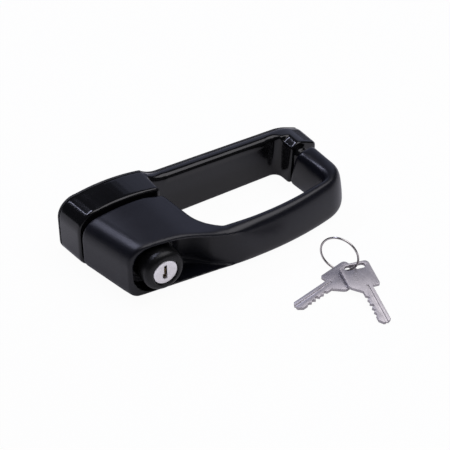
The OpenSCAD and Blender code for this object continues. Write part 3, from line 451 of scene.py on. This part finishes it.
def reshape_grip(grip):
    """Leans the bar and the riser in at the top, deepens the scoop, and rounds them and the pocket's rim."""
    soft = grip.vertex_groups.new(name="soft")
    leaning = grip.vertex_groups.new(name="leaning")
    scoop = grip.vertex_groups.new(name="scoop")
    for point in grip.data.vertices:
        x, y, z = point.co
        bar = step(x, *BAR_ALONG) * step(y, *RISER_FOOT)
        rim = step(z, *RIM_HEIGHT) * step(y, *RIM_FRONT)
        hollow = eased(step(x, *SCOOP_LEFT)) * eased(step(x, *SCOOP_RIGHT)) * step(y, *SCOOP_FRONT)
        if bar + rim + hollow > 0:
            frontward = max(0.0, -point.normal.y)
            outward = max(frontward, -point.normal.x * step(x, *RISER_ALONG))
            soft.add([point.index], max(bar, RIM_SOFTNESS * rim, SCOOP_SOFTNESS * hollow), "REPLACE")
            leaning.add([point.index], bar * outward * step(z, *LEAN_HEIGHT) ** LEAN_POWER, "REPLACE")
            scoop.add([point.index], hollow * frontward, "REPLACE")
    for group, depth in (("leaning", LEAN_DEPTH), ("scoop", SCOOP_DEPTH)):
        apply_modifier(
            grip, "DISPLACE", direction="NORMAL", mid_level=0.0, strength=-depth, vertex_group=group)
    apply_modifier(grip, "SMOOTH", factor=SMOOTH_FACTOR, iterations=SOFT_PASSES, vertex_group="soft")
    grip.vertex_groups.clear()


def bevelled(node, name, edge):
    """Copy of a stamped or turned CAD node with a small bevel on its sharp edges."""
    piece = merged_copy(node, name)
    apply_modifier(
        piece, "BEVEL", width=edge, segments=EDGE_SEGMENTS, limit_method="ANGLE", angle_limit=EDGE_ANGLE,
        use_clamp_overlap=True)
    bpy.ops.object.shade_smooth_by_angle(angle=EDGE_ANGLE)
    return piece


def coil(node, name):
    """Smooth copy of a CAD node that is bent from wire."""
    piece = merged_copy(node, name)
    bpy.ops.object.shade_smooth_by_angle(angle=EDGE_ANGLE)
    return piece


def dress(piece, node):
    """Gives a piece the body of the CAD node that it stands for, and hides the node."""
    body = next(name for name, nodes in frame["record"]["behaviour"]["bodies"].items() if node in nodes)
    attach(piece, body)
    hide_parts(node)


def shorten(spring, node, joint):
    """Reads the spring's length and its joint's travel, and gives the spring a mesh of its own."""
    low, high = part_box(node)
    travel = next(j for j in frame["record"]["behaviour"]["joints"] if j["name"] == joint)["range_m"][1]
    length = high.y - low.y
    (length - travel) / length
    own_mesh(spring)


def paint(piece, material):
    """Gives a piece one material in place of all that it has."""
    piece.data.materials.clear()
    piece.data.materials.append(material)


def floor_finish():
    """Matt white that the camera sees as white and glossy surfaces see as a soft grey."""
    finish = Finish("floor_white")
    camera_ray = finish.node("ShaderNodeLightPath", "Is Camera Ray")
    glossy_ray = finish.node("ShaderNodeLightPath", "Is Glossy Ray")
    clear_ray = finish.node("ShaderNodeLightPath", "Is Transmission Ray")
    mirrored = finish.combine("MAXIMUM", glossy_ray, clear_ray)
    glow_share = camera_ray * FLOOR_GLOW_SHARE + mirrored * FLOOR_SHEEN_SHARE
    matt = finish.node("ShaderNodeBsdfDiffuse", "BSDF", {"Color": (*FLOOR_WHITE, 1.0)})
    tone = finish.mix(camera_ray, FLOOR_SHEEN, FLOOR_GLOW)
    glow = finish.node("ShaderNodeEmission", "Emission", {"Color": tone})
    finish.end(finish.node("ShaderNodeMixShader", 0, {0: glow_share, 1: matt, 2: glow}))
    return finish.material


def make_floor(height):
    """White floor under the object."""
    bpy.ops.mesh.primitive_plane_add(size=FLOOR_SIZE, location=(0, 0, height))
    floor = bpy.context.object
    floor.name = "floor"
    paint(floor, floor_finish())


def add_lamp(name, place, size, power, colour):
    """Softbox that faces the middle of the object."""
    lamp = bpy.data.lights.new(name, "AREA")
    lamp.shape = "RECTANGLE"
    lamp.size, lamp.size_y = size
    lamp.energy = power
    lamp.color = colour
    holder = bpy.data.objects.new(name, lamp)
    holder.location = place
    holder.rotation_euler = (Vector(WORK_CENTRE) - Vector(place)).to_track_quat("-Z", "Y").to_euler()
    bpy.context.scene.collection.objects.link(holder)


def make_light():
    """Dim surroundings and the softboxes."""
    world = bpy.data.worlds.new("studio")
    world.use_nodes = True
    world.node_tree.nodes["Background"].inputs["Color"].default_value = (*WORLD_COLOUR, 1.0)
    bpy.context.scene.world = world
    for name, lamp in LAMPS.items():
        add_lamp(name, **lamp)


def make_camera():
    """Camera of the photograph, with colours shown as they are written."""
    view = bpy.data.cameras.new("camera")
    view.lens = CAMERA_LENS
    view.sensor_width = CAMERA_SENSOR
    camera = bpy.data.objects.new("camera", view)
    camera.location = CAMERA_PLACE
    camera.rotation_euler = (math.radians(90 - CAMERA_ELEVATION), 0, math.radians(CAMERA_AZIMUTH))
    bpy.context.scene.collection.objects.link(camera)
    bpy.context.scene.camera = camera
    bpy.context.scene.view_settings.view_transform = "Standard"


# Studio and finishes
slots = {part["node"]: part["material_slot"] for part in frame["record"]["subparts"]}
plug_low, plug_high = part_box("lock_plug")
finishes = make_finishes((plug_low + plug_high) / 2)
make_floor(cad_low.z)
make_light()
make_camera()

# Pieces that stand for CAD nodes
pieces = {
    "grip": moulding("grip", "moulded_grip", GRIP_VOXEL, GRIP_PASSES),
    "base": moulding("base", "moulded_base", BASE_VOXEL, BASE_PASSES),
    "upper_key": bevelled("upper_key", "stamped_upper_key", KEY_EDGE),
    "lower_key": bevelled("lower_key", "stamped_lower_key", KEY_EDGE),
    "button_sleeve": bevelled("button_sleeve", "turned_button_sleeve", TURNED_EDGE),
    "lock_plug": bevelled("lock_plug", "turned_lock_plug", TURNED_EDGE),
    "push_rod": bevelled("push_rod", "turned_push_rod", TURNED_EDGE),
    "key_ring": coil("key_ring", "coiled_key_ring"),
    "button_spring": coil("button_spring", "coiled_button_spring"),
}
reshape_grip(pieces["grip"])
for node, cad_piece in frame["nodes"].items():
    if node in pieces:
        dress(pieces[node], node)
        paint(pieces[node], finishes[slots[node]])
    else:
        paint(cad_piece, finishes[slots[node]])
shorten(pieces["button_spring"], "button_spring", "button_press")
